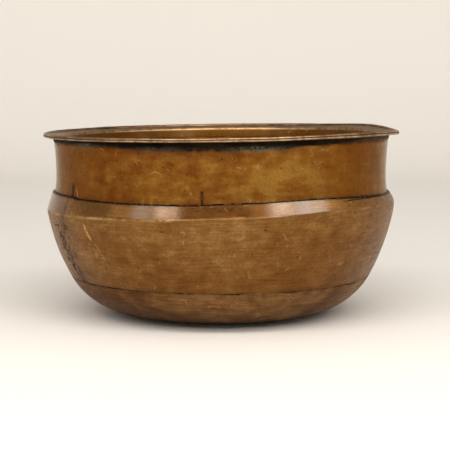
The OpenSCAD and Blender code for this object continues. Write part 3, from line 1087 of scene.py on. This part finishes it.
LIP_BRASS = brass("lip_brass", [(0.10, 0.045, 0.014), (0.18, 0.085, 0.028), (0.27, 0.14, 0.055),
                                (0.36, 0.20, 0.09)], (0.62, 0.43, 0.26), (0.28, 0.42), specks=0.3,
                  flecks=0.3, warm=(0.185, 0.075, 0.011))
SPELTER = brass("dark_spelter", [(0.006, 0.004, 0.002), (0.010, 0.006, 0.003), (0.018, 0.011, 0.006),
                                 (0.035, 0.022, 0.012)], (0.16, 0.09, 0.045), (0.6, 0.8), metallic=0.9)
NECK_BRASS = brass("neck_brass", [(0.165, 0.05, 0.008), (0.21, 0.075, 0.012), (0.25, 0.105, 0.017),
                                  (0.32, 0.16, 0.03)], (0.62, 0.42, 0.16), (0.30, 0.42), spread=0.08,
                   specks=0.8, flecks=0.18, warm=(0.26, 0.085, 0.006), edge=(0.91, 0.82, 0.70))
BODY_BRASS = brass("body_brass", [(0.20, 0.08, 0.018), (0.25, 0.11, 0.028), (0.30, 0.145, 0.04),
                                  (0.37, 0.20, 0.065)], (0.6, 0.39, 0.17), (0.30, 0.44), hatch=0.21,
                   specks=0.7, flecks=0.26, shine=1.0, warm=(0.38, 0.165, 0.03), edge=(1.0, 0.98, 0.95))
BASE_BRASS = brass("base_brass", [(0.135, 0.053, 0.014), (0.185, 0.08, 0.024), (0.235, 0.11, 0.036),
                                  (0.315, 0.165, 0.06)], (0.6, 0.39, 0.19), (0.4, 0.52), metallic=0.9,
                   spread=0.08, hatch=0.28, specks=0.8, flecks=0.2)
BRAZE_METAL = brass("braze", [(0.16, 0.06, 0.012), (0.21, 0.085, 0.017), (0.26, 0.11, 0.025),
                              (0.33, 0.16, 0.04)], (0.4, 0.28, 0.14), (0.35, 0.5))

# -------------------- the bowl

neck, neck_joint = make_neck()
body, body_joint = make_body()
made = [
    (make_lip(), "rim_flange", "lip_brass", LIP_BRASS),
    (make_bead(), "rim_solder_bead", "dark_spelter", SPELTER),
    (neck, "neck_band", "neck_brass", NECK_BRASS),
    (neck_joint, "neck_side_braze", "braze", BRAZE_METAL),
    (make_neck_seam(), "neck_seam_braze", "braze", BRAZE_METAL),
    (body, "body_shell", "body_brass", BODY_BRASS),
    (body_joint, "body_side_braze", "braze", BRAZE_METAL),
    (make_base_seam(), "base_seam_braze", "braze", BRAZE_METAL),
    (make_base(), "base_pan", "base_brass", BASE_BRASS),
]
for piece, node, slot, material in made:
    piece.data.materials.append(material)
    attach(piece, "root")
    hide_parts(node)

# -------------------- studio

FLOOR_R = 1.55
# The floor is open where the foot hides it, and a hair lower than the foot
FLOOR_HOLE_R = 0.036
FLOOR_GAP = 0.0001
SWEEP_R = 0.35
WALL_TOP = 0.6
BACKDROP_COLUMNS = 96
LAMP_COLOUR = (1.0, 0.96, 0.90)
# The lamps face this height on the bowl's axis
AIM_Z = 0.08


def make_backdrop():
    """A pale floor that sweeps up into a round wall."""
    sweep = np.radians(np.linspace(0, 90, 13))
    floor = np.linspace(FLOOR_HOLE_R, FLOOR_R, 12)
    r = np.concatenate([floor, FLOOR_R + SWEEP_R * np.sin(sweep[1:]), [FLOOR_R + SWEEP_R]])
    z = np.concatenate([0 * floor, SWEEP_R - SWEEP_R * np.cos(sweep[1:]), [WALL_TOP]]) - FLOOR_GAP
    az = np.arange(BACKDROP_COLUMNS) * 360 / BACKDROP_COLUMNS
    points = on_wall(az, r[:, None], z[:, None]) / MM
    index = np.arange(len(r) * BACKDROP_COLUMNS).reshape(-1, BACKDROP_COLUMNS)
    beside = np.roll(index, -1, axis=1)
    faces = [quads(index[:-1], beside[:-1], beside[1:], index[1:])]
    return finished("backdrop", points, faces, {})


def paper():
    """Pale paper, clear from outside the backdrop, where its normals point, so that a view from below
    shows the bowl."""
    s = Shader("paper")
    s.look({"Base Color": (0.88, 0.86, 0.83, 1), "Roughness": 0.9, "Specular IOR Level": 0.1})
    mix = s.add("MixShader", Fac=s.add("NewGeometry").outputs["Backfacing"])
    s.set(mix.inputs[1], s.add("BsdfTransparent").outputs[0])
    s.set(mix.inputs[2], s.surface.outputs[0])
    s.set(s.tree.nodes["Material Output"].inputs["Surface"], mix.outputs[0])
    return s.material


def softbox(name, azimuth, elevation, distance, width, height, glow):
    """A rectangular light that faces the bowl. glow is its radiance."""
    data = bpy.data.lights.new(name, "AREA")
    data.shape = "RECTANGLE"
    data.size, data.size_y = width, height
    data.energy = glow * math.pi * width * height
    data.color = LAMP_COLOUR
    light = bpy.data.objects.new(name, data)
    a, e = math.radians(azimuth), math.radians(elevation)
    way = Vector((math.sin(a) * math.cos(e), -math.cos(a) * math.cos(e), math.sin(e)))
    light.location = way * distance + Vector((0, 0, AIM_Z))
    light.rotation_euler = way.to_track_quat("Z", "Y").to_euler()
    bpy.context.collection.objects.link(light)
    return light


backdrop = make_backdrop()
backdrop.data.materials.append(paper())
softbox("right_window", 56, 35, 1.5, 1.6, 0.6, 1.3)
softbox("left_window", -39.5, 38, 1.5, 0.33, 0.6, 0.8)
softbox("far_left_window", -61, 34, 1.5, 0.85, 0.6, 0.8)
softbox("front_top", 0, 54, 1.6, 2.2, 0.35, 6.2)
softbox("front_low", 0, 28, 1.6, 2.2, 0.3, 4.5)
softbox("overhead", 0, 85, 1.6, 1.3, 1.0, 0.7)
# This lamp hangs behind the bowl and lights the wall
wall_lamp = softbox("wall_lamp", 180, 50, 1.3, 1.2, 0.3, 2.4)
wall_lamp.rotation_euler = (math.radians(60), 0, 0)

world = bpy.data.worlds.new("studio")
bpy.context.scene.world = world
world.use_nodes = True
world.node_tree.nodes["Background"].inputs["Color"].default_value = (1.0, 0.93, 0.84, 1)
world.node_tree.nodes["Background"].inputs["Strength"].default_value = 0.42
bpy.context.scene.view_settings.view_transform = "Standard"

# -------------------- camera

camera_data = bpy.data.cameras.new("camera")
camera_data.lens = 112.05
camera = bpy.data.objects.new("camera", camera_data)
camera.location = (0, -1.1885, 0.2029)
camera.rotation_euler = (math.radians(90 - 6.217), 0, math.radians(-0.192))
bpy.context.collection.objects.link(camera)
bpy.context.scene.camera = camera
